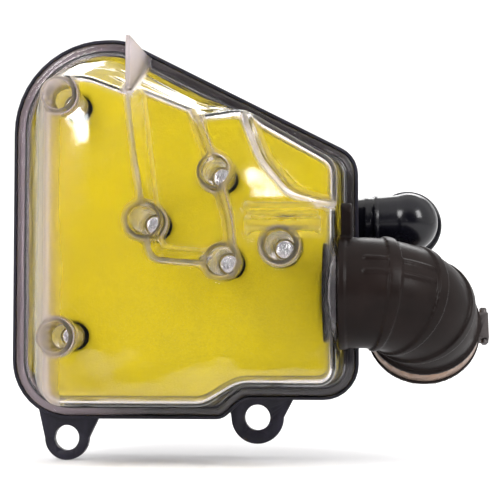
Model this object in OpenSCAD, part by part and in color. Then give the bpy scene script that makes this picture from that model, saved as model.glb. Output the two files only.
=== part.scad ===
// Air filter housing for a small engine: a clear front cover and a black back tray, with a foam element
// between them, a rubber outlet boot for the carburettor and a rubber inlet snorkel.
// Millimetres, +Z up. The clear cover faces -Y. The origin is the centre of the left fixing ear's hole,
// in the plane where the cover meets the tray. "Depth" is measured from that plane towards the front.

/* [Rim outline] */
// From the left ear's hole to the left edge of the rim
rim_left = 28; // [24:0.5:40]
// Width of the rim
rim_w = 178.5; // [150:0.5:220]
// Height of the lower left edge above the left ear's hole
rim_bottom = 10; // [9:0.5:14]
// Height of the rim, from its lower left edge to its top edge
rim_h = 196; // [164:1:236]
// Place of the step in the lower edge, to the right of the left ear's hole
step_x = 81; // [70:0.5:90]
// Rise of the step in the lower edge
step_rise = 10; // [4:0.5:14]
// Height of the right-hand edge above the step
right_h = 124; // [110:0.5:130]
// Place where the top edge starts to slant down, to the right of the left ear's hole
slant_x = 29.5; // [25:0.5:40]
// Tangent length of the large top left corner
corner_top_left = 48; // [20:1:50]
// Tangent length of the lower left corner
corner_low_left = 30; // [15:1:40]
// Tangent length of the lower right corner
corner_low_right = 18; // [10:1:24]
// Tangent length of the top right corner
corner_top_right = 9; // [5:0.5:12]

/* [Rim joint] */
// Thickness of the tray's outer lip, which surrounds the cover
lip_t = 1.5; // [1:0.1:2.5]
// How far the outer lip stands in front of the joint plane
lip_h = 3; // [1:0.1:3.4]
// Width of the seal's channel
channel_w = 4.3; // [3:0.1:6]
// Depth of the seal's channel behind the joint plane
channel_d = 2; // [1:0.1:3]
// Width of the inner lip that the cover's flange rests on
land_w = 3.2; // [2.4:0.1:5]
// Thickness of the tray's flange behind the joint plane
tray_flange_t = 5; // [4:0.1:7]
// Thickness of the cover's flange
cover_flange_t = 3.5; // [2.5:0.1:5]
// Gap between the cover's flange and the outer lip
flange_gap = 0.3; // [0.1:0.05:0.6]
// Gap between the seal and the sides of its channel
seal_gap = 0.15; // [0.05:0.05:0.4]

/* [Cover] */
// Depth of the cover in front of the joint plane
cover_depth = 60; // [50:0.5:72]
// Wall thickness of the cover
cover_wall = 2.2; // [1.6:0.1:3]
// Outer fillet around the front face
face_fillet = 6; // [4:0.5:8]
// How far the front face's left edge lies inside the rim
draft_left = 27.5; // [20:0.5:33]
// How far the front face's lower edge lies inside the rim
draft_low = 9; // [8:0.5:14]
// How far the front face's right edge lies inside the rim
draft_right = 10; // [9.5:0.1:11]
// How far the front face's top edge lies below the rim
draft_top = 26.5; // [18:0.5:30]
// Place of the front face's shoulder under the slanted edge
shoulder_x = 98; // [90:0.5:106]
// How far the shoulder lies below the slanted edge
shoulder_drop = 9; // [8:0.5:14]
// Place of the valley between the shoulder and the top edge
valley_x = 73.5; // [66:0.5:80]
// How far the valley lies below the slanted edge
valley_drop = 25; // [16:0.5:28]
// Depth of the sunken channel's floor in front of the joint plane
channel_depth = 44; // [36:0.5:50]
// Depth of the sunken upper right panel in front of the joint plane
panel_depth = 46; // [38:0.5:52]
// Thickness of the triangular fin
fin_t = 2.4; // [1.5:0.1:4]
// Place of the fin
fin_x = 41.5; // [36:0.5:46]
// How far the fin's top edge lies below the rim's top edge
fin_drop = 8.4; // [7:0.1:14]
// Height of the three steps on the duct bulge
duct_step_h = 1.2; // [0.6:0.1:2]

/* [Screws] */
// Radius of a well's mouth, outside
well_mouth_r = 8.8; // [7.5:0.1:10]
// Radius of a well's foot, outside
well_foot_r = 6.6; // [6:0.1:8]
// How far the rim of a well stands out of the front face
well_rim = 0.8; // [0.3:0.1:1.5]
// Wall of a well
well_wall = 1.6; // [1.2:0.1:2]
// Depth of a well's foot in front of the joint plane
well_foot_depth = 16; // [13:0.5:22]
// Floor of a well
well_floor = 2.5; // [1.5:0.1:4]
// Radius of a screw's shank
screw_r = 2; // [1.5:0.1:2.5]
// Radius of a screw's head
screw_head_r = 3.7; // [3:0.1:4]
// Height of a screw's head
screw_head_h = 2.8; // [2:0.1:4]
// Length of a screw below its head
screw_len = 28; // [20:1:34]
// Thickness of a washer
washer_t = 1; // [0.6:0.1:1.6]
// Radius of a washer
washer_r = 4.5; // [4:0.1:4.8]
// Radius of a post that a screw goes into
post_r = 5.5; // [4.5:0.1:6]
// Radial gap around a screw in its post
pilot_gap = 0.2; // [0.1:0.05:0.4]
// Radial gap around a screw in the cover
screw_gap = 0.7; // [0.3:0.1:1]

/* [Tray] */
// Depth of the tray behind the joint plane
tray_depth = 41; // [34:0.5:50]
// Wall thickness of the tray
tray_wall = 2.5; // [2:0.1:3.5]
// Depth of the ledge that the grid rests on, behind the joint plane
ledge_depth = 7; // [6:0.5:9]
// Height of the ribs on the tray's back
back_rib_h = 1.6; // [1:0.1:3]
// Thickness of the fixing ears
ear_t = 5; // [4:0.1:5]
// Radius of the fixing holes
ear_hole_r = 6.5; // [4:0.1:7]
// Outer radius of the left ear
ear_left_r = 11.4; // [9:0.1:13]
// Outer radius of the right ear
ear_right_r = 13.4; // [9:0.1:14]
// Distance from the left ear's hole to the right ear's hole, across
ear_span = 98.8; // [95:0.1:103]
// Height of the right ear's hole above the left one's
ear_rise = 10.9; // [8:0.1:13]

/* [Filter] */
// Depth of the foam's front face in front of the joint plane
foam_front = 12; // [9:0.5:14]
// Depth of the foam's back face behind the joint plane
foam_back = 4; // [3:0.5:5]
// Gap around the foam
foam_gap = 0.5; // [0.3:0.1:1]
// Radius of the foam's holes around the posts
foam_hole_r = 7; // [6.2:0.1:9]
// Width of the grid's bars
grid_bar = 2.5; // [1.6:0.1:4]
// Distance between the grid's bars
grid_pitch = 15; // [10:0.5:25]
// Width of the grid's outer frame
grid_frame = 5; // [3:0.5:8]
// Gap around the grid
grid_gap = 0.3; // [0.2:0.1:0.6]

/* [Outlet boot] */
// Height of the boot's axis above the left ear's hole
boot_z = 73.6; // [60:0.1:84]
// Depth of the boot's axis in front of the joint plane
boot_depth = 31.7; // [31.5:0.1:33]
// Outer radius of the boot's tube
boot_r = 27; // [24:0.1:27.3]
// Radius of the airway in the tube
boot_bore_r = 22.5; // [20:0.1:23]
// Radius of the boot's neck, where it passes through the cover
boot_neck_r = 22; // [20:0.1:22.5]
// Radius of the airway in the neck
boot_neck_bore_r = 19; // [16:0.1:19.5]
// Gap around the neck in the cover
boot_gap = 0.3; // [0.1:0.05:0.6]
// How far the inner lip stands out from the neck
boot_lip = 2.2; // [1.5:0.1:2.2]
// Thickness of the inner lip and of the outer lip
boot_lip_t = 3.6; // [2:0.1:5]
// Radius of the outer lip
boot_outer_lip_r = 27.8; // [27.4:0.1:27.9]
// Thickness of the cover's seat between the two lips
boot_seat_t = 3; // [2:0.1:4]
// Height of the tab's top above the boot's axis
boot_tab_h = 44; // [36:0.5:46]
// Width of the tab
boot_tab_w = 11; // [6:0.5:16]
// Thickness of the tab
boot_tab_t = 5.6; // [3:0.1:6]
// Length of the straight tube between the outer lip and the bend
boot_straight = 7.3; // [4:0.1:24]
// Radius of the bend's centreline
boot_bend_r = 31; // [30:0.5:40]
// Angle by which the boot's end points down
boot_tilt = 26.5; // [0:0.5:35]
// Length from the bend to the mouth
boot_end_len = 14; // [12:0.5:40]
// Height of the ring ribs on the boot's bend
boot_rib_h = 1.3; // [0.8:0.1:2]
// Width of those ribs, as an angle of the bend
boot_rib_turn = 6; // [3:0.5:8]
// Radius of the socket that takes the carburettor's mouth
socket_r = 23.5; // [20:0.1:24]
// Length of that socket
socket_len = 13; // [8:0.5:13.5]
// How far the two collars beside the clamp stand out
collar_h = 1.6; // [1.2:0.1:3]
// Width of each collar
collar_w = 2.5; // [1.5:0.1:3]

/* [Clamp] */
// Width of the clamp's band
band_w = 7.5; // [6:0.5:9]
// Thickness of the clamp's band
band_t = 0.9; // [0.6:0.1:1.2]
// Gap between the band and the boot
band_gap = 0.1; // [0.05:0.05:0.3]
// Gap between the band and each collar
band_side_gap = 0.5; // [0.2:0.1:1]
// Length of the screw housing
worm_housing_len = 14; // [10:0.5:18]
// Wall of the screw housing round its screw
worm_housing_wall = 0.6; // [0.5:0.1:1.5]
// Width of the screw housing
worm_housing_w = 7; // [5.5:0.5:12]
// Radius of the clamp's screw
worm_r = 1.5; // [1.2:0.1:2.5]
// Radial gap around the clamp's screw
worm_gap = 0.2; // [0.1:0.05:0.5]
// Length of the clamp screw's head
worm_head_len = 3.5; // [3:0.5:6]
// Radius of the clamp screw's head
worm_head_r = 2.2; // [2:0.1:3]

/* [Inlet snorkel] */
// Height of the snorkel's axis above the left ear's hole
snorkel_z = 111.6; // [105:0.1:118]
// Gap between the snorkel's inner lip and the grid, and between that lip and the tray's floor
snorkel_room = 1.05; // [0.5:0.05:3]
// Wall thickness of the snorkel's tube
snorkel_wall = 2.7; // [2:0.1:4]
// Gap around the snorkel's neck in the tray
snorkel_gap = 0.3; // [0.1:0.05:0.5]
// How far the snorkel's inner lip stands out from its neck
snorkel_lip = 2; // [1.2:0.1:3]
// Thickness of the snorkel's inner lip
snorkel_lip_t = 3; // [2:0.1:4]
// How much further each ring rib on the snorkel stands out than the one before
snorkel_rib_step = 0.9; // [0.7:0.1:1.4]
// Width of those ring ribs
snorkel_rib_w = 1.6; // [1:0.1:3]
// Distance from the tray's wall to the mouth's axis
snorkel_reach = 34.5; // [30:0.5:46]
// How far the ball at the snorkel's bend stands out from its tube
snorkel_ball_h = 2.9; // [2.5:0.1:4]
// Distance from the snorkel's axis to its mouth
snorkel_mouth_len = 24; // [18:0.5:34]
// How much wider the mouth's bore is than the tube's outside, as a radius
snorkel_flare = 0.3; // [0:0.1:0.8]
// Wall thickness of the mouth
snorkel_mouth_wall = 2; // [1.5:0.1:3]
// How far the mouth's lip stands out from the mouth
snorkel_mouth_lip = 3.3; // [1.5:0.1:4]
// Width of the mouth's lip
snorkel_mouth_lip_w = 4; // [3:0.5:7]

/* [Hidden] */
WELL_COUNT = 6;
// The smallest rounding that an inset outline keeps.
ROUND_MIN = 0.6;
// Depths in front of the joint plane where the cover's wall has a ring of points.
WALL_RINGS = [14, 27, 40];
// Angles round the cover's front rounding where it has a ring of points.
FILLET_RINGS = [22.5:22.5:90];
// Heights of the shallow steps across the duct bulge.
DUCT_STEPS = [101, 106.5, 113];
duct_step_w = 2.2;
duct_step_end = 8;
// How far each sunken area's outline runs out past the face that it cuts.
sunken_out = 8;
fin_len = 26;
fin_set_back = 0.5;
// The tray's outside ribs: an even grid of thin bars.
BACK_RIBS = 5;
back_rib_x = 2;
back_rib_pitch = 26;
back_rib_t = 2.4;
back_rib_low = 14;
back_rib_top = 34;
back_rib_cross = 40;
// How far each ear's foot reaches to the left and to the right of its hole.
EAR_LEFT_FOOT = [16, 17];
EAR_RIGHT_FOOT = [15, 19];
ear_foot_rise = 10;
// Room below a screw's tip in its pilot hole.
pilot_room = 4;
boss_stand = 0.5;
recess_gap = 0.3;
boss_rim = 1;
lip_relief = 1.5;
boss_relief = 0.5;
relief_len = 40;
tab_foot = 2;
screw_tip = 3;
screw_tip_r = 0.4;
washer_gap = 0.3;
// The cross recess in a screw's head: its width, depth and length as a share of the head's radius.
recess_w = 1;
recess_d = 1.4;
recess_share = 0.6;
// The slot in the clamp screw's head, and how far its tail stands out of its housing.
slot_w = 1;
slot_d = 1.5;
worm_tail = 2;
// The snorkel's taper and rings, measured from the rim.
taper_from = 1;
taper_step = 0.2;
taper_under = 0.5;
ring_from = 2;
ring_pitch = 5;
// Places of the ribs round the boot's bend, as angles of its turn.
BOOT_RIBS = [14, 40, 66];
$fn = 64;
cut = 1;

rim_right = rim_w - rim_left;
rim_top = rim_bottom + rim_h;
right_bottom = rim_bottom + step_rise;
right_top = right_bottom + right_h;

// Insets of the joint's parts from the rim's outline.
flange_inset = lip_t + flange_gap;
channel_outer = lip_t;
land_outer = lip_t + channel_w;
land_inner = land_outer + land_w;
wall_outer = land_inner - cover_wall;
ledge_outer = land_inner - tray_wall;
tray_inner = land_inner + tray_wall;
front_edge_depth = cover_depth - face_fillet;

// Height of the slanted top edge at a place.
function slant_z(x) = rim_top + (right_top - rim_top) * (x - slant_x) / (rim_right - slant_x);

// An outline is a list of corners [x, z, tangent length, arc steps], anticlockwise as seen from the front.
STEPS = [10, 3, 3, 7, 5, 3, 3, 4, 12];
rim_corners = [
    [-rim_left, rim_bottom, corner_low_left, STEPS[0]],
    [step_x, rim_bottom, 3, STEPS[1]],
    [step_x + step_rise + 1, right_bottom, 3, STEPS[2]],
    [rim_right, right_bottom, corner_low_right, STEPS[3]],
    [rim_right, right_top, corner_top_right, STEPS[4]],
    [shoulder_x, slant_z(shoulder_x), 4, STEPS[5]],
    [valley_x, slant_z(valley_x), 4, STEPS[6]],
    [slant_x, rim_top, 6, STEPS[7]],
    [-rim_left, rim_top, corner_top_left, STEPS[8]]
];
face_left = draft_left - rim_left;
face_right = rim_right - draft_right;
face_corners = [
    [face_left, rim_bottom + draft_low, 9, STEPS[0]],
    [step_x - 3, rim_bottom + draft_low, 4, STEPS[1]],
    [step_x + step_rise + 4, right_bottom + draft_low, 4, STEPS[2]],
    [face_right, right_bottom + draft_low, 8, STEPS[3]],
    [face_right, right_top - 8, 6, STEPS[4]],
    [shoulder_x, slant_z(shoulder_x) - shoulder_drop, 7, STEPS[5]],
    [valley_x, slant_z(valley_x) - valley_drop, 6, STEPS[6]],
    [slant_x - 9, rim_top - draft_top - 0.5, 6, STEPS[7]],
    [face_left, rim_top - draft_top, 11, STEPS[8]]
];

// The sunken channel: a left ridge, a floor that ends above the lower plateau, and a curved right ridge.
ridge_bottom = 90;
ridge_top = rim_top + 10;
channel_rim = [
    [53.5, ridge_bottom, 3, 2],
    [91.5, ridge_bottom - 3, 4, 2],
    [89.5, 109, 3, 2],
    [82.5, 135, 4, 2],
    [73, 160, 4, 2],
    [72, ridge_top, 2, 1],
    [35.5, ridge_top, 2, 1],
    [41.6, 171, 3, 2]
];
channel_floor = [
    [56, ridge_bottom + 6, 3, 2],
    [89, ridge_bottom + 3, 4, 2],
    [86.5, 110, 3, 2],
    [79.5, 135, 4, 2],
    [70, 160, 4, 2],
    [69, ridge_top, 2, 1],
    [42.5, ridge_top, 2, 1],
    [47, 171, 3, 2]
];

// The sunken upper right panel, above a concave curve that runs from the shoulder to the right-hand wall.
panel_right = rim_right + 20;
panel_rim = [
    [98, 158, 4, 2],
    [106, 137, 5, 3],
    [119.5, 120.5, 5, 3],
    [139, 115, 5, 2],
    [panel_right, 114, 2, 1],
    [panel_right, ridge_top, 2, 1],
    [97, ridge_top, 2, 1]
];
panel_floor = [for (c = panel_rim) [c[0] + 2, c[1] + 2, c[2], c[3]]];

// Wells: [x, z, depth of the mouth in front of the joint plane].
WELLS = [
    [7.5, 169, cover_depth + well_rim],
    [6.5, 52.3, cover_depth + well_rim],
    [49, 108, cover_depth - 3],
    [83, 131.7, cover_depth - 5],
    [86.4, 88.4, cover_depth - 4],
    [114.3, 95.6, cover_depth + well_rim]
];
// How far the side wall leans in, to the right, for each millimetre of depth.
wall_right_slope = (draft_right - wall_outer) / (front_edge_depth - cover_flange_t);
seat_depth = well_foot_depth + well_floor;
head_depth = seat_depth + washer_t;
post_gap = 0.2;

boss_out = face_right + boss_stand;
boss_in = boss_out - boot_seat_t;
recess_r = boot_outer_lip_r + recess_gap;
boss_r = recess_r + boss_rim;
boot_hole_r = boot_neck_r + boot_gap;
boot_lip_gap = 0.3;
bend_x = boss_out + boot_lip_gap + boot_lip_t + boot_straight;
bend_end_x = bend_x + boot_bend_r;
mouth_y = boot_bend_r + boot_end_len;
collar_r = boot_r + collar_h;
seat_len = band_w + 2 * band_side_gap;
collar_from = boot_end_len - seat_len - 2 * collar_w;
band_in_r = boot_r + band_gap;
band_y = mouth_y - collar_w - seat_len / 2;
worm_hole_r = worm_r + worm_gap;
worm_housing_h = 2 * (worm_hole_r + worm_housing_wall);
worm_x = band_in_r + band_t + worm_housing_h / 2;

tray_right = rim_right - land_inner;
tray_right_in = rim_right - tray_inner;
tray_floor_depth = tray_depth - tray_wall;
snorkel_back = (ledge_depth + tray_floor_depth) / 2;
snorkel_r = (tray_floor_depth - ledge_depth) / 2 - snorkel_room - snorkel_lip;
snorkel_bore_r = snorkel_r - snorkel_wall;
snorkel_mouth_bore_r = snorkel_r + snorkel_flare;
snorkel_ball_r = snorkel_r + snorkel_ball_h;
snorkel_x = tray_right + snorkel_reach;
snorkel_hole_r = snorkel_r + snorkel_gap;

// ---- Outline functions ----

function unit(v) = v / norm(v);
function flat(c) = [c[0], c[1]];
function cross2(a, b) = a[0] * b[1] - a[1] * b[0];
function prev(list, i) = list[(i + len(list) - 1) % len(list)];
function next(list, i) = list[(i + 1) % len(list)];

// Half of the angle by which an outline turns at a corner, positive on a convex corner.
function half_turn(a, p, b) =
    let (u = unit(p - a), v = unit(b - p))
    atan2(cross2(u, v), u * v) / 2;

// An outline moved inwards by a distance, or outwards if it is negative.
function inset(corners, d) = [
    for (i = [0:len(corners) - 1])
        let (
            p = flat(corners[i]),
            a = flat(prev(corners, i)),
            b = flat(next(corners, i)),
            u = unit(p - a),
            v = unit(b - p),
            nu = [-u[1], u[0]],
            nv = [-v[1], v[0]],
            q = p + d * (nu + nv) / (1 + nu * nv),
            t = corners[i][2] - d * tan(half_turn(a, p, b))
        )
        [q[0], q[1], max(ROUND_MIN, t), corners[i][3]]
];

// An outline part of the way from one to another.
function between(c1, c2, s) = [for (i = [0:len(c1) - 1]) c1[i] * (1 - s) + c2[i] * s];

// The points of one rounded corner: a true arc, drawn as a weighted curve.
function corner_points(a, c, b) =
    let (
        p = flat(c),
        p0 = p + c[2] * unit(a - p),
        p2 = p + c[2] * unit(b - p),
        w = cos(half_turn(a, p, b))
    )
    [
        for (k = [0:c[3]])
            let (u = k / c[3], w0 = (1 - u) * (1 - u), w1 = 2 * u * (1 - u) * w, w2 = u * u)
            (w0 * p0 + w1 * p + w2 * p2) / (w0 + w1 + w2)
    ];

function outline(corners) = [
    for (i = [0:len(corners) - 1])
        each corner_points(flat(prev(corners, i)), corners[i], flat(next(corners, i)))
];

// A ring of points at a depth in front of the joint plane.
function ring(corners, depth) = [for (p = outline(corners)) [p[0], -depth, p[1]]];

// Corners of the cover's outer wall at a depth.
function wall_share(depth) =
    max(0, min(1, (depth - cover_flange_t) / (front_edge_depth - cover_flange_t)));
function wall_corners(depth) = between(inset(rim_corners, wall_outer), face_corners, wall_share(depth));

// ---- Shared shapes ----

function middle(points) =
    [for (k = [0:2]) [for (p = points) p[k]] * [for (p = points) 1] / len(points)];

// A closed solid through rings that run from the back to the front. Each end is a fan round its middle.
module loft(rings) {
    n = len(rings[0]);
    m = len(rings);
    sides = [
        for (j = [0:m - 2], i = [0:n - 1])
            let (a = j * n + i, b = j * n + (i + 1) % n, c = a + n, d = b + n)
            each [[a, c, b], [b, c, d]]
    ];
    back = [for (i = [0:n - 1]) [m * n, i, (i + 1) % n]];
    front = [for (i = [0:n - 1]) [m * n + 1, (m - 1) * n + (i + 1) % n, (m - 1) * n + i]];
    middles = [middle(rings[0]), middle(rings[m - 1])];
    polyhedron(points = concat([for (r = rings) each r], middles), faces = concat(sides, back, front));
}

// A slab with the outline's shape, from one depth to a larger one.
module slab(corners, depth_1, depth_2) {
    translate([0, -depth_1, 0]) rotate([90, 0, 0])
        linear_extrude(depth_2 - depth_1) polygon(outline(corners));
}

// Places a shape's +Z along the front direction at a place on the face.
module facing(x, z, depth) {
    translate([x, -depth, z]) rotate([90, 0, 0]) children();
}

// Places a shape's +Z along +X at a place.
module sideways(x, y, z) {
    translate([x, y, z]) rotate([0, 90, 0]) children();
}

module tube(r_out, r_in, h) {
    difference() {
        cylinder(r = r_out, h = h);
        translate([0, 0, -cut]) cylinder(r = r_in, h = h + 2 * cut);
    }
}

// ---- Back tray ----

// A flat ear round a hole at [x, z], with its foot between two points on the rim.
module ear_plate(x, z, r, foot_left, foot_right) {
    translate([0, ear_t, 0]) rotate([90, 0, 0]) linear_extrude(ear_t) {
        translate([x, z]) circle(r);
        polygon([[x - r, z], [x + r, z], foot_right, foot_left]);
    }
}

module post() {
    cylinder(r = post_r, h = tray_depth - tray_wall + well_foot_depth - post_gap + cut);
}

module back_ribs() {
    rib_low = right_bottom + back_rib_low;
    for (i = [0:BACK_RIBS - 1])
        let (x = back_rib_x + i * back_rib_pitch)
            translate([x, tray_depth - cut, rib_low])
                cube([back_rib_t, cut + back_rib_h, slant_z(max(slant_x, x)) - rib_low - back_rib_top]);
    translate([back_rib_x, tray_depth - cut, rib_low + back_rib_cross])
        cube([(BACK_RIBS - 1) * back_rib_pitch, cut + back_rib_h, back_rib_t]);
}

module back_housing() {
    color([0.11, 0.1, 0.13]) difference() {
        union() {
            difference() {
                union() {
                    slab(rim_corners, -tray_flange_t, lip_h);
                    slab(inset(rim_corners, ledge_outer), -ledge_depth - tray_wall, -tray_flange_t + cut);
                    slab(inset(rim_corners, land_inner), -tray_depth, -ledge_depth);
                    ear_plate(
                        0, 0, ear_left_r,
                        [-EAR_LEFT_FOOT[0], rim_bottom + ear_foot_rise], [EAR_LEFT_FOOT[1], rim_bottom + lip_t]
                    );
                    ear_plate(
                        ear_span, ear_rise, ear_right_r,
                        [ear_span - EAR_RIGHT_FOOT[0], right_bottom],
                        [ear_span + EAR_RIGHT_FOOT[1], right_bottom + lip_t]
                    );
                }
                slab(inset(rim_corners, lip_t), 0, lip_h + cut);
                difference() {
                    slab(inset(rim_corners, channel_outer), -channel_d, cut);
                    slab(inset(rim_corners, land_outer), -channel_d - cut, 2 * cut);
                }
                slab(inset(rim_corners, land_inner), -ledge_depth, lip_h + cut);
                slab(inset(rim_corners, tray_inner), -tray_depth + tray_wall, lip_h + cut);
            }
            for (w = WELLS) facing(w[0], w[1], -tray_depth + tray_wall - cut) post();
            back_ribs();
        }
        facing(0, 0, -ear_t - cut) cylinder(r = ear_hole_r, h = ear_t + 2 * cut);
        facing(ear_span, ear_rise, -tray_flange_t - cut)
            cylinder(r = ear_hole_r, h = tray_flange_t + lip_h + 2 * cut);
        for (w = WELLS)
            facing(w[0], w[1], head_depth - screw_len - pilot_room)
                cylinder(r = screw_r + pilot_gap, h = screw_len + pilot_room);
        sideways(tray_right_in - cut, snorkel_back, snorkel_z)
            cylinder(r = snorkel_hole_r, h = tray_inner - ledge_outer + 2 * cut);
    }
}

module rim_gasket() {
    color([0.74, 0.68, 0.72]) difference() {
        slab(inset(rim_corners, channel_outer + seal_gap), -channel_d, 0);
        slab(inset(rim_corners, land_outer - seal_gap), -channel_d - cut, cut);
    }
}

// ---- Filter ----

module support_grid() {
    edge = inset(rim_corners, land_inner + grid_gap);
    grid_t = ledge_depth - foam_back;
    color([0.16, 0.16, 0.17]) translate([0, ledge_depth, 0]) rotate([90, 0, 0]) linear_extrude(grid_t)
        difference() {
            union() {
                difference() {
                    polygon(outline(edge));
                    polygon(outline(inset(edge, grid_frame)));
                }
                intersection() {
                    polygon(outline(edge));
                    union() {
                        for (x = [-rim_left + grid_pitch:grid_pitch:rim_right])
                            translate([x, rim_bottom]) square([grid_bar, rim_h]);
                        for (z = [rim_bottom + grid_pitch:grid_pitch:rim_top])
                            translate([-rim_left, z]) square([rim_w, grid_bar]);
                    }
                }
                for (w = WELLS) translate([w[0], w[1]]) circle(post_r + grid_gap + grid_bar);
            }
            for (w = WELLS) translate([w[0], w[1]]) circle(post_r + grid_gap);
        }
}

module foam_element() {
    gap = cover_wall + foam_gap;
    color([0.85, 0.78, 0.06]) difference() {
        loft([
            ring(inset(rim_corners, land_inner + foam_gap), -foam_back),
            ring(inset(rim_corners, land_inner + foam_gap), 0),
            ring(inset(wall_corners(cover_flange_t), gap), cover_flange_t),
            ring(inset(wall_corners(foam_front), gap), foam_front)
        ]);
        for (w = WELLS) facing(w[0], w[1], -foam_back - cut)
            cylinder(r = foam_hole_r, h = foam_front + foam_back + 2 * cut);
        // Relief for the inner lip of the outlet boot.
        sideways(boss_in - boot_lip_gap - boot_lip_t - lip_relief, -boot_depth, boot_z)
            cylinder(r = boot_neck_r + boot_lip + lip_relief, h = relief_len);
        // Relief for the collar that the boot sits in.
        sideways(boss_in - boss_relief, -boot_depth, boot_z)
            cylinder(r = boss_r + boss_relief, h = relief_len);
    }
}

// ---- Clear cover ----

// The rings of the cover's outer shape, or of its cavity when the wall is taken off.
function shell_rings(wall, back_depth) =
    let (r = face_fillet - wall, top = cover_depth - wall)
    concat(
        [
            for (d = concat([back_depth, cover_flange_t], WALL_RINGS, [front_edge_depth]))
                ring(inset(wall_corners(d), wall), d)
        ],
        [for (a = FILLET_RINGS) ring(inset(face_corners, wall + r * (1 - cos(a))), top - r + r * sin(a))]
    );

// A sunken area with sloping sides, which runs out through the front. Grown, it has the cover's wall round it.
module sunken(rim, floor_corners, depth, grow) {
    out = cover_depth + sunken_out;
    loft([
        ring(inset(floor_corners, -grow), depth - grow),
        ring(inset(between(floor_corners, rim, (out - depth) / (cover_depth - depth)), -grow), out)
    ]);
}

module sunken_areas(grow) {
    sunken(channel_rim, channel_floor, channel_depth, grow);
    sunken(panel_rim, panel_floor, panel_depth, grow);
}

module fin() {
    top = rim_top - fin_drop;
    low = top - fin_len;
    front = fin_set_back - cover_depth;
    translate([fin_x - fin_t / 2, 0, 0]) rotate([90, 0, 90]) linear_extrude(fin_t)
        polygon([[-cover_flange_t, top], [front, top], [front, low], [-cover_flange_t, low]]);
}

// Three shallow steps across the duct bulge.
module duct_steps() {
    for (z = DUCT_STEPS)
        translate([shoulder_x + 1, -cover_depth - duct_step_h, z])
            cube([face_right - shoulder_x - duct_step_end, duct_step_h + cover_wall / 2, duct_step_w]);
}

module well_outside(w) {
    facing(w[0], w[1], well_foot_depth)
        cylinder(r1 = well_foot_r, r2 = well_mouth_r, h = w[2] - well_foot_depth);
}

module well_inside(w) {
    facing(w[0], w[1], seat_depth)
        cylinder(r1 = well_foot_r - well_wall, r2 = well_mouth_r - well_wall, h = w[2] - seat_depth + 0.01);
    facing(w[0], w[1], w[2]) cylinder(r = well_mouth_r - well_wall, h = 20);
    facing(w[0], w[1], well_foot_depth - cut) cylinder(r = screw_r + screw_gap, h = well_floor + 2 * cut);
}

module clear_cover() {
    color([0.82, 0.8, 0.85, 0.35]) difference() {
        union() {
            difference() {
                union() {
                    difference() {
                        union() {
                            slab(inset(rim_corners, flange_inset), 0, cover_flange_t);
                            loft(shell_rings(0, 1));
                        }
                        sunken_areas(0);
                    }
                    fin();
                }
                difference() {
                    loft(shell_rings(cover_wall, -cut));
                    sunken_areas(cover_wall);
                }
            }
            for (w = WELLS) well_outside(w);
            sideways(boss_in, -boot_depth, boot_z) cylinder(r = boss_r, h = boss_out - boss_in);
            duct_steps();
        }
        for (w = WELLS) well_inside(w);
        sideways(boss_in - cut, -boot_depth, boot_z)
            cylinder(r = boot_hole_r, h = boss_out - boss_in + 2 * cut);
        sideways(boss_out, -boot_depth, boot_z) cylinder(r = recess_r, h = rim_right - boss_out);
    }
}

// ---- Outlet boot and its clamp ----

// The boot's frame: +X out of the cover, +Y along the boot's end, which points back and down.
module boot_frame() {
    translate([0, -boot_depth, boot_z]) rotate([-boot_tilt, 0, 0]) children();
}

// A bend of the boot's centreline, between two angles of its turn.
module bend(r, from, to) {
    translate([bend_x, boot_bend_r, 0]) rotate([0, 0, -90 + from])
        rotate_extrude(angle = to - from) translate([boot_bend_r, 0]) circle(r);
}

// A round length of the boot's end, measured from the end of the bend.
module end_round(r, from, to) {
    translate([bend_end_x, boot_bend_r + from, 0]) rotate([-90, 0, 0]) cylinder(r = r, h = to - from);
}

// A tab that stands beside the cover's side wall, above the outer lip.
module boot_tab() {
    tab_z = boot_z + boot_tab_h - boot_tab_w / 2;
    foot_z = boot_z + boot_bore_r + tab_foot;
    wall_x = rim_right - wall_outer - (wall_right_slope * (boot_depth - boot_tab_w / 2 - cover_flange_t));
    x = wall_x + boot_lip_gap;
    sideways(x, -boot_depth, tab_z) cylinder(r = boot_tab_w / 2, h = boot_tab_t);
    translate([x, -boot_depth - boot_tab_w / 2, foot_z]) cube([boot_tab_t, boot_tab_w, tab_z - foot_z]);
}

module carb_boot() {
    lip_x = boss_in - boot_lip_gap - boot_lip_t;
    outer_lip_x = boss_out + boot_lip_gap;
    tube_x = outer_lip_x + boot_lip_t;
    color([0.12, 0.1, 0.1]) difference() {
        union() {
            boot_frame() {
                sideways(lip_x, 0, 0) cylinder(r = boot_neck_r + boot_lip, h = boot_lip_t);
                sideways(lip_x, 0, 0) cylinder(r = boot_neck_r, h = outer_lip_x - lip_x + cut);
                sideways(outer_lip_x, 0, 0) cylinder(r = boot_outer_lip_r, h = boot_lip_t);
                sideways(outer_lip_x, 0, 0) cylinder(r = boot_r, h = bend_x - outer_lip_x);
                bend(boot_r, 0, 90);
                for (a = BOOT_RIBS) bend(boot_r + boot_rib_h, a, a + boot_rib_turn);
                end_round(boot_r, 0, boot_end_len);
                end_round(collar_r, collar_from, collar_from + collar_w);
                end_round(collar_r, boot_end_len - collar_w, boot_end_len);
            }
            boot_tab();
        }
        boot_frame() {
            sideways(lip_x - cut, 0, 0) cylinder(r = boot_neck_bore_r, h = tube_x - lip_x + 2 * cut);
            sideways(tube_x, 0, 0) cylinder(r = boot_bore_r, h = bend_x - tube_x);
            bend(boot_bore_r, 0, 90);
            end_round(boot_bore_r, 0, boot_end_len - socket_len);
            end_round(socket_r, boot_end_len - socket_len, boot_end_len + cut);
        }
    }
}

// The clamp's frame: +Z along the boot's mouth, at the middle of the band.
module clamp_frame() {
    boot_frame() translate([bend_end_x, band_y, 0]) rotate([-90, 0, 0]) children();
}

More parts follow.
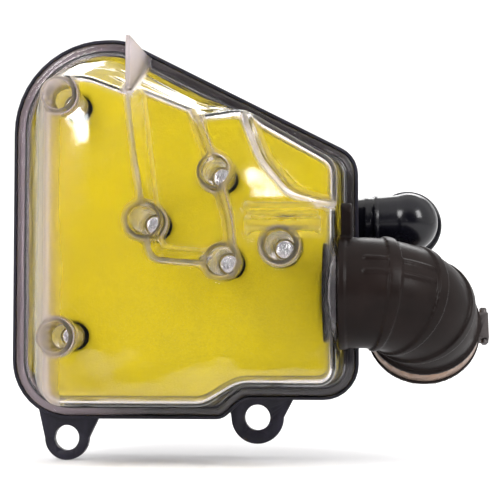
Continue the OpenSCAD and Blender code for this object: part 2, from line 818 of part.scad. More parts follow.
module clamp_band() {
    color([0.55, 0.45, 0.38]) clamp_frame() translate([0, 0, -band_w / 2])
        tube(band_in_r + band_t, band_in_r, band_w);
}

module clamp_housing() {
    color([0.5, 0.48, 0.46]) clamp_frame() difference() {
        translate([band_in_r + band_t / 2, -worm_housing_len / 2, -worm_housing_w / 2])
            cube([worm_housing_h + band_t / 2, worm_housing_len, worm_housing_w]);
        translate([0, 0, -worm_housing_w]) cylinder(r = band_in_r + band_t, h = 2 * worm_housing_w);
        translate([worm_x, worm_housing_len, 0]) rotate([90, 0, 0])
            cylinder(r = worm_hole_r, h = 2 * worm_housing_len);
    }
}

module clamp_screw() {
    tail = worm_housing_len / 2 + worm_tail;
    head_y = -worm_housing_len / 2 - worm_gap;
    color([0.62, 0.6, 0.58]) clamp_frame() translate([worm_x, 0, 0]) difference() {
        union() {
            translate([0, tail, 0]) rotate([90, 0, 0]) cylinder(r = worm_r, h = tail - head_y + cut);
            translate([0, head_y, 0]) rotate([90, 0, 0]) cylinder(r = worm_head_r, h = worm_head_len, $fn = 6);
        }
        translate([-worm_head_r - cut, head_y - worm_head_len - cut, -slot_w / 2])
            cube([2 * (worm_head_r + cut), slot_d + cut, slot_w]);
    }
}

// ---- Inlet snorkel ----

module snorkel() {
    inner_lip_x = tray_right_in - snorkel_gap - snorkel_lip_t;
    taper_x = rim_right + taper_from;
    mouth_r = snorkel_mouth_bore_r + snorkel_mouth_wall;
    color([0.09, 0.09, 0.1]) translate([0, snorkel_back, snorkel_z]) difference() {
        union() {
            sideways(inner_lip_x, 0, 0) cylinder(r = snorkel_r + snorkel_lip, h = snorkel_lip_t);
            sideways(inner_lip_x, 0, 0) cylinder(r = snorkel_r, h = snorkel_x - inner_lip_x);
            sideways(taper_x, 0, 0)
                cylinder(r1 = snorkel_r + taper_step, r2 = snorkel_ball_r - taper_under, h = snorkel_x - taper_x);
            for (i = [0:1])
                sideways(taper_x + ring_from + i * ring_pitch, 0, 0)
                    cylinder(r = snorkel_r + (i + 1) * snorkel_rib_step, h = snorkel_rib_w);
            translate([snorkel_x, 0, 0]) sphere(r = snorkel_ball_r);
            translate([snorkel_x, 0, 0]) rotate([-90, 0, 0]) cylinder(r = mouth_r, h = snorkel_mouth_len);
            translate([snorkel_x, snorkel_mouth_len - snorkel_mouth_lip_w, 0]) rotate([-90, 0, 0])
                cylinder(r = mouth_r + snorkel_mouth_lip, h = snorkel_mouth_lip_w);
        }
        sideways(inner_lip_x - cut, 0, 0) cylinder(r = snorkel_bore_r, h = snorkel_x - inner_lip_x + cut);
        translate([snorkel_x, 0, 0]) sphere(r = snorkel_mouth_bore_r);
        translate([snorkel_x, 0, 0]) rotate([-90, 0, 0])
            cylinder(r = snorkel_mouth_bore_r, h = snorkel_mouth_len + cut);
    }
}

// ---- Fasteners ----

module cover_screw(w) {
    color([0.75, 0.75, 0.76]) facing(w[0], w[1], head_depth) difference() {
        union() {
            cylinder(r = screw_head_r, h = screw_head_h);
            translate([0, 0, screw_tip - screw_len]) cylinder(r = screw_r, h = screw_len - screw_tip + cut);
            translate([0, 0, -screw_len]) cylinder(r1 = screw_tip_r, r2 = screw_r, h = screw_tip);
        }
        for (a = [0, 90])
            rotate([0, 0, a])
                translate([-screw_head_r * recess_share, -recess_w / 2, screw_head_h - recess_d])
                    cube([2 * screw_head_r * recess_share, recess_w, recess_d + cut]);
    }
}

module screw_washer(w) {
    color([0.7, 0.7, 0.7]) facing(w[0], w[1], seat_depth) tube(washer_r, screw_r + washer_gap, washer_t);
}

back_housing();
rim_gasket();
support_grid();
foam_element();
clear_cover();
carb_boot();
clamp_band();
clamp_housing();
clamp_screw();
snorkel();
for (i = [1:WELL_COUNT]) {
    cover_screw(WELLS[i - 1]);
    screw_washer(WELLS[i - 1]);
}
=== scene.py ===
"""Air filter housing for a small engine: the look of every piece, in metres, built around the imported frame."""

import math

import bmesh
import bpy
import numpy
from bpy.props import FloatProperty, FloatVectorProperty, PointerProperty
from mathutils import Matrix, Vector, noise


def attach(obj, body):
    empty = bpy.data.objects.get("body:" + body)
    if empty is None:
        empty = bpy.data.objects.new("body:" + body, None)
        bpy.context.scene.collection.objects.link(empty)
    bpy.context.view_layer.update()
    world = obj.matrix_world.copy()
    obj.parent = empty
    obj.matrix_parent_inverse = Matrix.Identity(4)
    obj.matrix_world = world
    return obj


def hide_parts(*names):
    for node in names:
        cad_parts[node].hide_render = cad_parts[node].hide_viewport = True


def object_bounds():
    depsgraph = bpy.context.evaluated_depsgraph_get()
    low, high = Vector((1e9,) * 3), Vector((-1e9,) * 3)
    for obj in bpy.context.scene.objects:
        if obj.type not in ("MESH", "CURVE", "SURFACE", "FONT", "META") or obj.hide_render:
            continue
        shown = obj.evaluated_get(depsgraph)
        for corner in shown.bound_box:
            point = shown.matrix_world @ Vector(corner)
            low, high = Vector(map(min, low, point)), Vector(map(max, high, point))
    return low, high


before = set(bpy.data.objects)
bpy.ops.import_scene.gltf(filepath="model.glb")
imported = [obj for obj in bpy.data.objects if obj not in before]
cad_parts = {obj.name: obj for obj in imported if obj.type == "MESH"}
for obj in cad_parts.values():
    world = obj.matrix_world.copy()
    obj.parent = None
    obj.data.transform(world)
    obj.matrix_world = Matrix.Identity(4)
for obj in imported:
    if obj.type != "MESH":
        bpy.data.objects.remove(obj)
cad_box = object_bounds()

bl_info = {
    "name": "Air filter housing",
    "version": (1, 0, 0),
    "blender": (4, 5, 0),
    "location": "View3D > Sidebar > Air filter",
    "description": "Builds the visible pieces of a clear-covered air filter housing on its CAD frame",
    "category": "Object",
}

MM = 0.001
MERGE = 0.01 * MM
SCREW_COUNT = 6
# The screw wells [x, z] in mm, and how milky each one's rim is: frosted, and tinted with a painted lilac-grey
# reflection.
MILKY_WELLS = [
    (7.5, 169, 0.8), (6.5, 52.3, 0.8), (49, 108, 0.25),
    (83, 131.7, 0.25), (86.4, 88.4, 0.25), (114.3, 95.6, 0.25),
]
# The wavy ridge across the front face, as [x, z] in mm, how wide it is on each side, and where the face is.
RIDGE_LINE = [(43.3, 79.3), (53.9, 75.4), (66.3, 73.0), (79.2, 72.1), (92.1, 75.3), (106.3, 81.4)]
RIDGE_REACH = 2.2 * MM
RIDGE_FACE = -59 * MM
# The outlet boot's frame: where its axis starts, its bend's start and radius, its outside radius and its tilt.
BOOT_AXIS = Vector((0, -31.7, 73.6)) * MM
BOOT_BEND_X = 152.2 * MM
BOOT_BEND_R = 31 * MM
BOOT_R = 27 * MM
BOOT_TILT = math.radians(26.5)
BOOT_LONG_RIBS = (-2.1 * MM, 5.1 * MM)
RIB_SIDES = 10
RIB_STEPS = 19
RIB_STEP_DEG = 2


# ---- Settings ----


def colour(name, description, default):
    return FloatVectorProperty(
        name=name, description=description, default=default, size=3, subtype="COLOR", min=0, max=1
    )


def length(name, description, default):
    return FloatProperty(name=name, description=description, default=default, unit="LENGTH", min=0)


class CoverSettings(bpy.types.PropertyGroup):
    tint: colour("Tint", "Colour of the clear plastic", (0.975, 0.95, 0.96))
    detail: length("Detail", "Size of the finest detail of the moulding", 0.9 * MM)
    waviness: length("Waviness", "Height of the moulding's long waves", 0.10 * MM)
    haze: FloatProperty(
        name="Haze", description="Roughness of the thick, milky edges", default=0.55, min=0, max=1
    )
    # Painted reflection: lilac-grey colour at the thick edges, the fin and the wells, in place of scattered and
    # reflected light.
    painted_reflection_tint: colour("Milky tint", "Colour of the thick, milky edges", (0.80, 0.72, 0.76))
    ior: FloatProperty(name="IOR", description="Index of refraction of the plastic", default=1.38, min=1, max=2)
    ridge: length("Ridge", "Height of the wavy ridge across the front face", 0.9 * MM)


class FoamSettings(bpy.types.PropertyGroup):
    tint: colour("Foam", "Colour of the foam", (0.78, 0.64, 0.003))
    # Painted shade: the colour that darkens the foam's pores.
    pore_shade_tint: colour("Pores", "Colour in the foam's pores", (0.58, 0.45, 0.0015))
    pore: length("Pore", "Size of the foam's pores", 0.9 * MM)
    sag: length("Unevenness", "How far the foam's faces dip", 0.5 * MM)


class RubberSettings(bpy.types.PropertyGroup):
    boot_tint: colour("Boot", "Colour of the outlet boot", (0.006, 0.0037, 0.0033))
    snorkel_tint: colour("Snorkel", "Colour of the inlet snorkel", (0.003, 0.003, 0.005))
    rib: length("Rib", "Half the thickness of the boot's lengthwise ribs", 1.3 * MM)
    seal_tint: colour("Seal", "Colour of the rim's seal on the open side", (0.34, 0.28, 0.32))
    # The seal's colour towards +X, the boots' side; the seal is darker there.
    seal_dark: colour("Seal, boot_side", "Colour of the seal on the side of the boots", (0.03, 0.025, 0.03))
    detail: length("Detail", "Size of the finest detail of the boots", 0.65 * MM)


class PlasticSettings(bpy.types.PropertyGroup):
    tray_tint: colour("Tray", "Colour of the back tray", (0.012, 0.011, 0.018))
    grid_tint: colour("Grid", "Colour of the support grid", (0.03, 0.03, 0.032))
    edge: length("Edge", "Rounding of the moulded edges", 0.5 * MM)


class MetalSettings(bpy.types.PropertyGroup):
    zinc_tint: colour("Zinc", "Colour of the screws and washers", (0.72, 0.72, 0.73))
    # Partly painted reflection: a real clamp band, whose brown tint copies the shaded brown table reflected at
    # the boot's end.
    band_reflection_tint: colour("Band", "Colour of the clamp's band", (0.34, 0.23, 0.17))
    saddle_tint: colour("Saddle", "Colour of the clamp's blackened saddle and screw", (0.10, 0.09, 0.09))


class StageSettings(bpy.types.PropertyGroup):
    eye: FloatVectorProperty(
        name="Eye", description="Place of the camera", default=(0.165, -0.750, 0.056), subtype="TRANSLATION"
    )
    target: FloatVectorProperty(
        name="Target", description="Point that the camera looks at", default=(0.0950, 0.0, 0.0965),
        subtype="TRANSLATION",
    )
    lens: FloatProperty(name="Lens", description="Focal length in millimetres", default=105.8, min=20)
    sky: FloatProperty(name="Sky", description="Brightness of the surroundings", default=1.35, min=0)
    rear: FloatProperty(
        name="Rear", description="Brightness of the surroundings past the object", default=0.4, min=0
    )
    dusk: FloatProperty(name="Dusk", description="Brightness behind the viewer", default=0.06, min=0)
    floor_tint: colour("Floor", "Colour of the floor and backdrop", (0.86, 0.86, 0.87))


SETTINGS = {
    "airbox_cover": CoverSettings,
    "airbox_foam": FoamSettings,
    "airbox_rubber": RubberSettings,
    "airbox_plastic": PlasticSettings,
    "airbox_metal": MetalSettings,
    "airbox_stage": StageSettings,
}


# ---- Materials ----


def new_material(name):
    """A material with a Principled shader, its node tree and the shader."""
    material = bpy.data.materials.new(name)
    material.use_nodes = True
    tree = material.node_tree
    return material, tree, tree.nodes["Principled BSDF"]


def object_point(tree, stretch=(1, 1, 1)):
    """Object coordinates, stretched along the axes."""
    place = tree.nodes.new("ShaderNodeTexCoord")
    mapping = tree.nodes.new("ShaderNodeMapping")
    mapping.inputs["Scale"].default_value = stretch
    tree.links.new(place.outputs["Object"], mapping.inputs["Vector"])
    return mapping.outputs["Vector"]


def noise_field(tree, point, grain, detail=3.0, roughness=0.55):
    """A noise value with features of a given size in metres."""
    field = tree.nodes.new("ShaderNodeTexNoise")
    field.inputs["Scale"].default_value = 1 / grain
    field.inputs["Detail"].default_value = detail
    field.inputs["Roughness"].default_value = roughness
    tree.links.new(point, field.inputs["Vector"])
    return field.outputs["Fac"]


def ramp(tree, value, low, high, low_tint, high_tint):
    """Maps a value between two limits to a blend of two colours or grey levels."""
    node = tree.nodes.new("ShaderNodeValToRGB")
    node.color_ramp.elements[0].position = low
    node.color_ramp.elements[1].position = high
    for element, tint in zip(node.color_ramp.elements, (low_tint, high_tint)):
        level = tint if hasattr(tint, "__len__") else (tint, tint, tint)
        element.color = (*level, 1)
    tree.links.new(value, node.inputs["Fac"])
    return node.outputs["Color"]


def bump(tree, shader, layers):
    """Adds bumps to a shader: each layer is a height value and its depth in metres."""
    normal = None
    for height, depth in layers:
        node = tree.nodes.new("ShaderNodeBump")
        node.inputs["Strength"].default_value = 1
        node.inputs["Distance"].default_value = depth
        tree.links.new(height, node.inputs["Height"])
        if normal:
            tree.links.new(normal, node.inputs["Normal"])
        normal = node.outputs["Normal"]
    tree.links.new(normal, shader.inputs["Normal"])


def nearest(place, start, end):
    """The point of a line's piece that is nearest to a place."""
    way = end - start
    share = max(0, min(1, (place - start).dot(way) / way.length_squared))
    return start + way * share


def shade(tint, share):
    """A tint made darker or lighter."""
    return tuple(min(1.0, c * share) for c in tint)


def clear_plastic(settings):
    """Clear moulded plastic: glossy faces with long shallow waves, and milky thick edges, frosted and tinted
    with a painted lilac-grey reflection.
    """
    material, tree, shader = new_material("clear_plastic")
    point = object_point(tree)
    waves = noise_field(tree, point, 26 * MM, 1.0)
    flow = noise_field(tree, object_point(tree, (1, 1, 0.3)), 4 * MM, 2.0)
    haze = tree.nodes.new("ShaderNodeAttribute")
    haze.attribute_name = "haze"
    clear = ramp(tree, flow, 0.35, 0.75, 0.012, 0.05)
    milky = tree.nodes.new("ShaderNodeMix")
    milky.data_type = "RGBA"
    milky.inputs["B"].default_value = (settings.haze, settings.haze, settings.haze, 1)
    tree.links.new(haze.outputs["Fac"], milky.inputs["Factor"])
    tree.links.new(clear, milky.inputs["A"])
    tree.links.new(milky.outputs["Result"], shader.inputs["Roughness"])
    # Painted reflection: the haze mask blends the clear tint towards the painted reflection tint.
    body = tree.nodes.new("ShaderNodeMix")
    body.data_type = "RGBA"
    body.inputs["A"].default_value = (*settings.tint, 1)
    body.inputs["B"].default_value = (*settings.painted_reflection_tint, 1)
    tree.links.new(haze.outputs["Fac"], body.inputs["Factor"])
    tree.links.new(body.outputs["Result"], shader.inputs["Base Color"])
    shader.inputs["Transmission Weight"].default_value = 1
    shader.inputs["IOR"].default_value = settings.ior
    bump(tree, shader, [(waves, settings.waviness * 4), (flow, 0.01 * MM)])
    return material


def filter_foam(settings):
    """Open-cell foam, wetted with oil: fine pores with painted shade in them, uneven colour."""
    material, tree, shader = new_material("filter_foam")
    point = object_point(tree)
    cells = tree.nodes.new("ShaderNodeTexVoronoi")
    cells.inputs["Scale"].default_value = 1 / settings.pore
    tree.links.new(point, cells.inputs["Vector"])
    pores = cells.outputs["Distance"]
    blotches = noise_field(tree, point, 22 * MM, 3.0)
    # Painted shade: the pores are darker than the foam's faces.
    skin = ramp(tree, pores, 0.12, 0.55, settings.pore_shade_tint, settings.tint)
    stain = ramp(tree, blotches, 0.32, 0.72, shade(settings.tint, 0.86), shade(settings.tint, 1.05))
    mix = tree.nodes.new("ShaderNodeMix")
    mix.data_type = "RGBA"
    mix.inputs["Factor"].default_value = 0.45
    tree.links.new(skin, mix.inputs["A"])
    tree.links.new(stain, mix.inputs["B"])
    tree.links.new(mix.outputs["Result"], shader.inputs["Base Color"])
    tree.links.new(ramp(tree, blotches, 0.3, 0.7, 0.75, 0.95), shader.inputs["Roughness"])
    bump(tree, shader, [(blotches, 0.6 * MM), (pores, 0.08 * MM)])
    return material


def moulded_rubber(name, tint, gloss, shine, bloom):
    """Moulded rubber: a satin skin with a faint brown bloom and fine grain."""
    material, tree, shader = new_material(name)
    point = object_point(tree)
    patches = noise_field(tree, point, 18 * MM, 4.0)
    grain = noise_field(tree, point, 0.5 * MM, 2.0)
    tree.links.new(ramp(tree, patches, 0.3, 0.75, tint, shade(tint, bloom)), shader.inputs["Base Color"])
    tree.links.new(ramp(tree, patches, 0.3, 0.7, gloss, gloss + 0.14), shader.inputs["Roughness"])
    shader.inputs["Specular IOR Level"].default_value = shine
    shader.inputs["Coat Weight"].default_value = shine * 0.2
    shader.inputs["Coat Roughness"].default_value = 0.12
    bump(tree, shader, [(patches, 0.12 * MM), (grain, 0.012 * MM)])
    return material


def seal_rubber(settings):
    """Pale seal rubber, darker towards +X, where the boots are."""
    material, tree, shader = new_material("seal_rubber")
    place = tree.nodes.new("ShaderNodeTexCoord")
    across = tree.nodes.new("ShaderNodeSeparateXYZ")
    tree.links.new(place.outputs["Object"], across.inputs["Vector"])
    patches = noise_field(tree, place.outputs["Object"], 9 * MM, 4.0)
    spread = tree.nodes.new("ShaderNodeMath")
    spread.operation = "MULTIPLY_ADD"
    spread.inputs[1].default_value = 0.02
    tree.links.new(patches, spread.inputs[0])
    tree.links.new(across.outputs["X"], spread.inputs[2])
    share = tree.nodes.new("ShaderNodeMapRange")
    share.inputs["From Min"].default_value = 0.012
    share.inputs["From Max"].default_value = 0.055
    tree.links.new(spread.outputs["Value"], share.inputs["Value"])
    tint = ramp(tree, share.outputs["Result"], 0, 1, settings.seal_tint, settings.seal_dark)
    tree.links.new(tint, shader.inputs["Base Color"])
    tree.links.new(ramp(tree, patches, 0.3, 0.7, 0.45, 0.7), shader.inputs["Roughness"])
    bump(tree, shader, [(patches, 0.1 * MM)])
    return material


def moulded_plastic(name, tint, gloss):
    """Opaque moulded plastic with a fine spark-eroded grain and faint scuffs."""
    material, tree, shader = new_material(name)
    point = object_point(tree)
    grain = noise_field(tree, point, 0.35 * MM, 2.0)
    scuffs = noise_field(tree, object_point(tree, (1, 1, 0.25)), 6 * MM, 5.0)
    tree.links.new(ramp(tree, scuffs, 0.45, 0.8, tint, shade(tint, 1.9)), shader.inputs["Base Color"])
    tree.links.new(ramp(tree, scuffs, 0.35, 0.75, gloss, gloss + 0.16), shader.inputs["Roughness"])
    shader.inputs["Specular IOR Level"].default_value = 0.2
    bump(tree, shader, [(grain, 0.02 * MM)])
    return material


def plated_metal(name, tint, gloss):
    """Plated steel with drawn streaks and uneven brightness."""
    material, tree, shader = new_material(name)
    streaks = noise_field(tree, object_point(tree, (1, 1, 0.12)), 0.5 * MM, 3.0)
    patches = noise_field(tree, object_point(tree), 4 * MM, 3.0)
    tree.links.new(ramp(tree, patches, 0.3, 0.75, shade(tint, 0.75), tint), shader.inputs["Base Color"])
    tree.links.new(ramp(tree, streaks, 0.3, 0.7, gloss, gloss + 0.15), shader.inputs["Roughness"])
    shader.inputs["Metallic"].default_value = 1
    bump(tree, shader, [(streaks, 0.01 * MM)])
    return material


# ---- Mesh helpers ----


def node_shape(node):
    """The CAD node's shape, merged into one closed surface."""
    bm = bmesh.new()
    bm.from_mesh(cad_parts[node].data)
    bmesh.ops.remove_doubles(bm, verts=bm.verts, dist=MERGE)
    return bm


def new_object(bm, name):
    mesh = bpy.data.meshes.new(name)
    bm.to_mesh(mesh)
    bm.free()
    piece = bpy.data.objects.new(name, mesh)
    bpy.context.scene.collection.objects.link(piece)
    return piece


def bake_modifiers(piece):
    """Applies a piece's modifiers to its mesh."""
    graph = bpy.context.evaluated_depsgraph_get()
    mesh = bpy.data.meshes.new_from_object(piece.evaluated_get(graph))
    piece.modifiers.clear()
    old = piece.data
    piece.data = mesh
    bpy.data.meshes.remove(old)
    mesh.name = piece.name


def soften(piece, voxel, passes, keep):
    """Turns a piece into one moulded skin with rounded edges, thinned to a share of its faces."""
    remesh = piece.modifiers.new("Skin", "REMESH")
    remesh.mode = "VOXEL"
    remesh.voxel_size = voxel
    smooth = piece.modifiers.new("Ease", "SMOOTH")
    smooth.factor = 0.5
    smooth.iterations = passes
    if keep < 1:
        thin = piece.modifiers.new("Thin", "DECIMATE")
        thin.ratio = keep
    bake_modifiers(piece)
    piece.data.shade_smooth()


def mark_haze(piece, passes, extra):
    """Stores how milky each point is: tightly curved places, and those that extra names. The mask sets the
    roughness and the painted reflection tint.
    """
    mesh = piece.data
    count = len(mesh.vertices)
    places = numpy.empty(count * 3)
    normals = numpy.empty(count * 3)
    ends = numpy.empty(len(mesh.edges) * 2, dtype=int)
    mesh.vertices.foreach_get("co", places)
    mesh.vertices.foreach_get("normal", normals)
    mesh.edges.foreach_get("vertices", ends)
    places, normals, ends = places.reshape(-1, 3), normals.reshape(-1, 3), ends.reshape(-1, 2)

    def around(values):
        total = values.copy()
        weight = numpy.ones(count)
        for near, far in ((0, 1), (1, 0)):
            numpy.add.at(total, ends[:, near], values[ends[:, far]])
            numpy.add.at(weight, ends[:, near], 1)
        return total / (weight[:, None] if values.ndim == 2 else weight)

    bend = 1 - numpy.linalg.norm(around(normals), axis=1)
    for _ in range(passes):
        bend = around(bend)
    haze = numpy.clip(bend / 0.02, 0, 1) * numpy.clip((-0.004 - places[:, 1]) / 0.004, 0, 1)
    haze = numpy.clip(numpy.maximum(haze, extra(places)), 0, 1)
    for _ in range(2):
        haze = around(haze)
    layer = mesh.attributes.new("haze", "FLOAT", "POINT")
    layer.data.foreach_set("value", haze.astype(numpy.float32))


def ease_edges(piece, width, segments=2, angle=math.radians(35)):
    """Rounds a piece's sharp edges."""
    bevel = piece.modifiers.new("Edges", "BEVEL")
    bevel.width = width
    bevel.segments = segments
    bevel.limit_method = "ANGLE"
    bevel.angle_limit = angle
    bevel.use_clamp_overlap = True
    bevel.harden_normals = True
    bake_modifiers(piece)
    piece.data.shade_smooth()
    piece.data.set_sharp_from_angle(angle=angle)


def flatten(bm):
    """Joins a shape's coplanar triangles into whole faces."""
    bmesh.ops.dissolve_limit(bm, angle_limit=math.radians(0.5), verts=bm.verts, edges=bm.edges)


def dress(piece, nodes, body, material):
    """Gives a piece its material and its body, and hides the CAD nodes it stands for."""
    piece.data.materials.clear()
    piece.data.materials.append(material)
    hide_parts(*nodes)
    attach(piece, body)


def hard_copy(node, name, width):
    """A piece with the CAD node's shape and rounded edges."""
    bm = node_shape(node)
    flatten(bm)
    piece = new_object(bm, name)
    ease_edges(piece, width)
    return piece


# ---- Operators ----


class AIRBOX_OT_stage(bpy.types.Operator):
    """Add the camera, the floor with its backdrop, and the lights"""

    bl_idname = "airbox.stage"
    bl_label = "Stage"

    def execute(self, context):
        settings = context.scene.airbox_stage
        camera = bpy.data.cameras.new("camera")
        camera.lens = settings.lens
        camera.sensor_width = 36
        camera.clip_start = 0.01
        viewer = bpy.data.objects.new("camera", camera)
        context.scene.collection.objects.link(viewer)
        viewer.location = settings.eye
        direction = Vector(settings.target) - Vector(settings.eye)
        viewer.rotation_euler = direction.to_track_quat("-Z", "Y").to_euler()
        context.scene.camera = viewer
        context.scene.view_settings.view_transform = "Standard"
        self.backdrop(settings)
        self.sky(context, settings)
        for name, place, size, power in (
            ("window", (-0.45, -0.85, 0.75), (0.35, 0.5), 9.0),
            ("side_window", (0.75, -0.55, 0.55), (0.25, 0.4), 5.0),
            ("rear_fill", (0.1, 0.9, 0.6), (0.8, 0.5), 7.0),
            ("bright_pane", (0.05, -0.85, 0.19), (0.025, 0.03), 0.10),
            ("far_pane", (-0.14, -0.78, 0.25), (0.02, 0.025), 0.08),
        ):
            self.area_light(context, name, place, size, power)
        return {"FINISHED"}

    def backdrop(self, settings):
        """A floor that curves up into a backdrop."""
        bm = bmesh.new()
        floor_z = cad_box[0].z
        front, back, top, bend = -1.6, 0.9, 0.62, 0.35
        line = [Vector((-2, front, floor_z)), Vector((-2, back - bend, floor_z))]
        for step in range(1, 10):
            a = math.radians(step * 9)
            line.append(Vector((-2, back - bend + bend * math.sin(a), floor_z + bend * (1 - math.cos(a)))))
        line += [Vector((-2, back, floor_z + bend)), Vector((-2, back, top))]
        verts = [bm.verts.new(p) for p in line]
        edges = [bm.edges.new(pair) for pair in zip(verts, verts[1:])]
        swept = bmesh.ops.extrude_edge_only(bm, edges=edges)
        moved = [v for v in swept["geom"] if isinstance(v, bmesh.types.BMVert)]
        bmesh.ops.translate(bm, verts=moved, vec=(4, 0, 0))
        bmesh.ops.recalc_face_normals(bm, faces=bm.faces)
        floor = new_object(bm, "backdrop")
        floor.data.shade_smooth()
        material, tree, shader = new_material("backdrop_paper")
        paper = noise_field(tree, object_point(tree), 120 * MM, 4.0)
        tint = settings.floor_tint
        tree.links.new(ramp(tree, paper, 0.3, 0.7, shade(tint, 0.985), tint), shader.inputs["Base Color"])
        shader.inputs["Roughness"].default_value = 0.9
        floor.data.materials.append(material)

    def sky(self, context, settings):
        """Bright surroundings that are dim behind the viewer."""
        world = bpy.data.worlds.new("sky")
        world.use_nodes = True
        tree = world.node_tree
        shader = tree.nodes["Background"]
        place = tree.nodes.new("ShaderNodeTexCoord")
        across = tree.nodes.new("ShaderNodeSeparateXYZ")
        tree.links.new(place.outputs["Generated"], across.inputs["Vector"])
        front = tree.nodes.new("ShaderNodeMapRange")
        front.interpolation_type = "SMOOTHSTEP"
        front.inputs["From Min"].default_value = -0.93
        front.inputs["From Max"].default_value = -0.60
        tree.links.new(across.outputs["Y"], front.inputs["Value"])
        low, high = settings.dusk, settings.sky
        dark, bright = (low, low, low * 1.1), (high, high * 0.985, high * 0.97)
        tint = ramp(tree, front.outputs["Result"], 0, 1, dark, bright)
        tree.links.new(tint, shader.inputs["Color"])
        past = tree.nodes.new("ShaderNodeMapRange")
        past.interpolation_type = "SMOOTHSTEP"
        past.inputs["From Min"].default_value = 0.30
        past.inputs["From Max"].default_value = 0.65
        past.inputs["To Min"].default_value = 1
        past.inputs["To Max"].default_value = settings.rear
        tree.links.new(across.outputs["Y"], past.inputs["Value"])
        tree.links.new(past.outputs["Result"], shader.inputs["Strength"])
        context.scene.world = world

    def area_light(self, context, name, place, size, power):
        light = bpy.data.lights.new(name, "AREA")
        light.shape = "RECTANGLE"
        light.size, light.size_y = size
        light.energy = power
        lamp = bpy.data.objects.new(name, light)
        context.scene.collection.objects.link(lamp)
        lamp.location = place
        aim = Vector((0.09, 0, 0.09)) - Vector(place)
        lamp.rotation_euler = aim.to_track_quat("-Z", "Y").to_euler()


class AIRBOX_OT_cover(bpy.types.Operator):
    """Build the clear front cover as one moulded skin"""

    bl_idname = "airbox.cover"
    bl_label = "Clear cover"

    def execute(self, context):
        settings = context.scene.airbox_cover
        piece = new_object(node_shape("clear_cover"), "cover_moulding")
        soften(piece, settings.detail, 6, 0.5)
        self.raise_ridge(piece, settings.ridge)
        mark_haze(piece, 3, self.thick_places)
        dress(piece, ["clear_cover"], "cover", clear_plastic(settings))
        return {"FINISHED"}

    def raise_ridge(self, piece, height):
        """Raises a wavy line on the front face, where the moulding flowed together."""
        line = [Vector(p) * MM for p in RIDGE_LINE]
        for vertex in piece.data.vertices:
            if vertex.co.y > RIDGE_FACE:
                continue
            place = Vector((vertex.co.x, vertex.co.z))
            away = min((place - nearest(place, a, b)).length for a, b in zip(line, line[1:]))
            if away < RIDGE_REACH:
                vertex.co.y -= height * math.cos(away / RIDGE_REACH * math.pi / 2) ** 2

    def thick_places(self, places):
        """The fin, the wells, and the left edge of the front face, seen through its thick fillet: these get
        frosting and the painted reflection tint.
        """
        x, y, z = places.T
        fin = (abs(x - 0.0415) < 0.0016) & (z > 0.172)
        left = numpy.clip((0.0105 - x) / 0.003, 0, 1) * numpy.clip((-0.035 - y) / 0.006, 0, 1)
        milky = numpy.maximum(fin * 1.0, left)
        for well_x, well_z, share in MILKY_WELLS:
            away = numpy.hypot(x - well_x * MM, z - well_z * MM)
            near = numpy.clip((0.0095 - away) / 0.0008, 0, 1) * numpy.clip((-0.045 - y) / 0.006, 0, 1)
            milky = numpy.maximum(milky, near * share)
        return milky


class AIRBOX_OT_foam(bpy.types.Operator):
    """Build the foam filter element"""

    bl_idname = "airbox.foam"
    bl_label = "Foam element"

    def execute(self, context):
        settings = context.scene.airbox_foam
        piece = new_object(node_shape("foam_element"), "foam_block")
        soften(piece, 1.6 * MM, 5, 1)
        for vertex in piece.data.vertices:
            dip = noise.noise(vertex.co * 38) * 0.5 + 0.5
            vertex.co -= vertex.normal * dip * settings.sag
        dress(piece, ["foam_element"], "element", filter_foam(settings))
        return {"FINISHED"}


class AIRBOX_OT_tray(bpy.types.Operator):
    """Build the back tray, the rim's seal and the support grid"""

    bl_idname = "airbox.tray"
    bl_label = "Tray, seal and grid"

    def execute(self, context):
        plastic = context.scene.airbox_plastic
        rubber = context.scene.airbox_rubber
        tray = hard_copy("back_housing", "tray_moulding", plastic.edge)
        black = moulded_plastic("tray_plastic", plastic.tray_tint, 0.32)
        dress(tray, ["back_housing"], "tray", black)
        seal = hard_copy("rim_gasket", "rim_seal", plastic.edge)
        dress(seal, ["rim_gasket"], "tray", seal_rubber(rubber))
        grid = hard_copy("support_grid", "grid_moulding", plastic.edge)
        grey = moulded_plastic("grid_plastic", plastic.grid_tint, 0.4)
        dress(grid, ["support_grid"], "tray", grey)
        return {"FINISHED"}


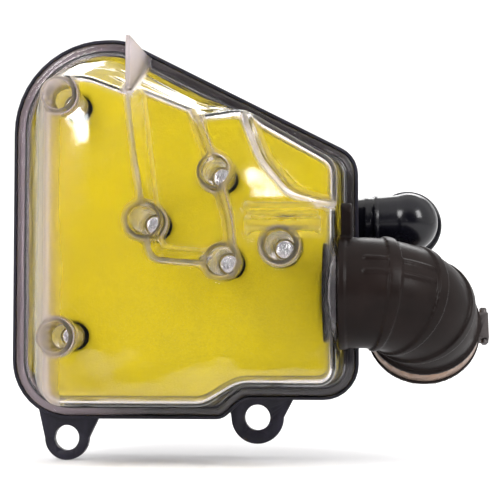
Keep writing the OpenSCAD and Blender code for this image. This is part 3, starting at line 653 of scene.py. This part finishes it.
class AIRBOX_OT_boots(bpy.types.Operator):
    """Build the rubber outlet boot and the inlet snorkel"""

    bl_idname = "airbox.boots"
    bl_label = "Rubber boots"

    def execute(self, context):
        settings = context.scene.airbox_rubber
        shape = node_shape("carb_boot")
        for offset in BOOT_LONG_RIBS:
            self.long_rib(shape, offset, settings.rib)
        boot = new_object(shape, "outlet_boot")
        soften(boot, settings.detail, 3, 0.6)
        material = moulded_rubber("boot_rubber", settings.boot_tint, 0.30, 0.08, 1.9)
        dress(boot, ["carb_boot"], "cover", material)
        snorkel = new_object(node_shape("snorkel"), "inlet_elbow")
        soften(snorkel, 0.6 * MM, 4, 1)
        material = moulded_rubber("snorkel_rubber", settings.snorkel_tint, 0.15, 0.28, 1.5)
        dress(snorkel, ["snorkel"], "snorkel_elbow", material)
        return {"FINISHED"}

    def long_rib(self, bm, offset, radius):
        """Adds a round rib along the outside of the boot's bend, at an offset from its middle plane."""
        sides = RIB_SIDES
        turn = Matrix.Rotation(-BOOT_TILT, 3, "X")
        out = BOOT_BEND_R + math.sqrt(BOOT_R ** 2 - offset ** 2) - 0.3 * radius
        rings = []
        for step in range(RIB_STEPS):
            a = math.radians(RIB_STEP_DEG * (1 + step))
            outward = Vector((math.sin(a), -math.cos(a), 0))
            centre = Vector((BOOT_BEND_X, BOOT_BEND_R, offset)) + outward * out
            ring = []
            for side in range(sides):
                b = math.tau * side / sides
                place = centre + (outward * math.cos(b) + Vector((0, 0, math.sin(b)))) * radius
                ring.append(bm.verts.new(BOOT_AXIS + turn @ place))
            rings.append(ring)
        faces = [bm.faces.new(rings[0]), bm.faces.new(reversed(rings[-1]))]
        for near, far in zip(rings, rings[1:]):
            for i in range(sides):
                j = (i + 1) % sides
                faces.append(bm.faces.new((near[j], near[i], far[i], far[j])))
        bmesh.ops.recalc_face_normals(bm, faces=faces)


class AIRBOX_OT_clamp(bpy.types.Operator):
    """Build the outlet boot's band clamp with its screw"""

    bl_idname = "airbox.clamp"
    bl_label = "Band clamp"

    def execute(self, context):
        settings = context.scene.airbox_metal
        # Partly painted reflection: the band's brown tint copies the shaded brown table reflected at the boot's
        # end.
        band_reflection_metal = plated_metal("band_reflection_metal", settings.band_reflection_tint, 0.3)
        zinc = plated_metal("clamp_zinc", settings.saddle_tint, 0.34)
        for node, name, body, metal in (
            ("clamp_band", "hose_band", "cover", band_reflection_metal),
            ("clamp_housing", "hose_band_saddle", "cover", zinc),
            ("clamp_screw", "hose_band_screw", "clamp_worm", zinc),
        ):
            piece = hard_copy(node, name, 0.2 * MM)
            dress(piece, [node], body, metal)
        return {"FINISHED"}


class AIRBOX_OT_screws(bpy.types.Operator):
    """Build the cover's six screws and their washers"""

    bl_idname = "airbox.screws"
    bl_label = "Screws and washers"

    def execute(self, context):
        settings = context.scene.airbox_metal
        zinc = plated_metal("screw_zinc", settings.zinc_tint, 0.18)
        for number in range(1, SCREW_COUNT + 1):
            screw = hard_copy(f"cover_screw_{number}", f"screw_{number}", 0.25 * MM)
            dress(screw, [f"cover_screw_{number}"], "cover", zinc)
            washer = hard_copy(f"screw_washer_{number}", f"washer_{number}", 0.2 * MM)
            dress(washer, [f"screw_washer_{number}"], "cover", zinc)
        return {"FINISHED"}


OPERATORS = (
    AIRBOX_OT_stage,
    AIRBOX_OT_cover,
    AIRBOX_OT_foam,
    AIRBOX_OT_tray,
    AIRBOX_OT_boots,
    AIRBOX_OT_clamp,
    AIRBOX_OT_screws,
)


class AIRBOX_PT_panel(bpy.types.Panel):
    """Lists the housing's settings and the operators that build it"""

    bl_idname = "AIRBOX_PT_panel"
    bl_label = "Air filter housing"
    bl_space_type = "VIEW_3D"
    bl_region_type = "UI"
    bl_category = "Air filter"

    def draw(self, context):
        for operator in OPERATORS:
            self.layout.operator(operator.bl_idname)
        for name, group in SETTINGS.items():
            box = self.layout.box()
            for key in group.__annotations__:
                box.prop(getattr(context.scene, name), key)


def register():
    for cls in (*SETTINGS.values(), *OPERATORS, AIRBOX_PT_panel):
        bpy.utils.register_class(cls)
    for name, group in SETTINGS.items():
        setattr(bpy.types.Scene, name, PointerProperty(type=group))


def unregister():
    for name in SETTINGS:
        delattr(bpy.types.Scene, name)
    for cls in reversed((*SETTINGS.values(), *OPERATORS, AIRBOX_PT_panel)):
        bpy.utils.unregister_class(cls)


def main():
    register()
    for operator in OPERATORS:
        group, name = operator.bl_idname.split(".")
        getattr(getattr(bpy.ops, group), name)()


if __name__ == "__main__":
    main()
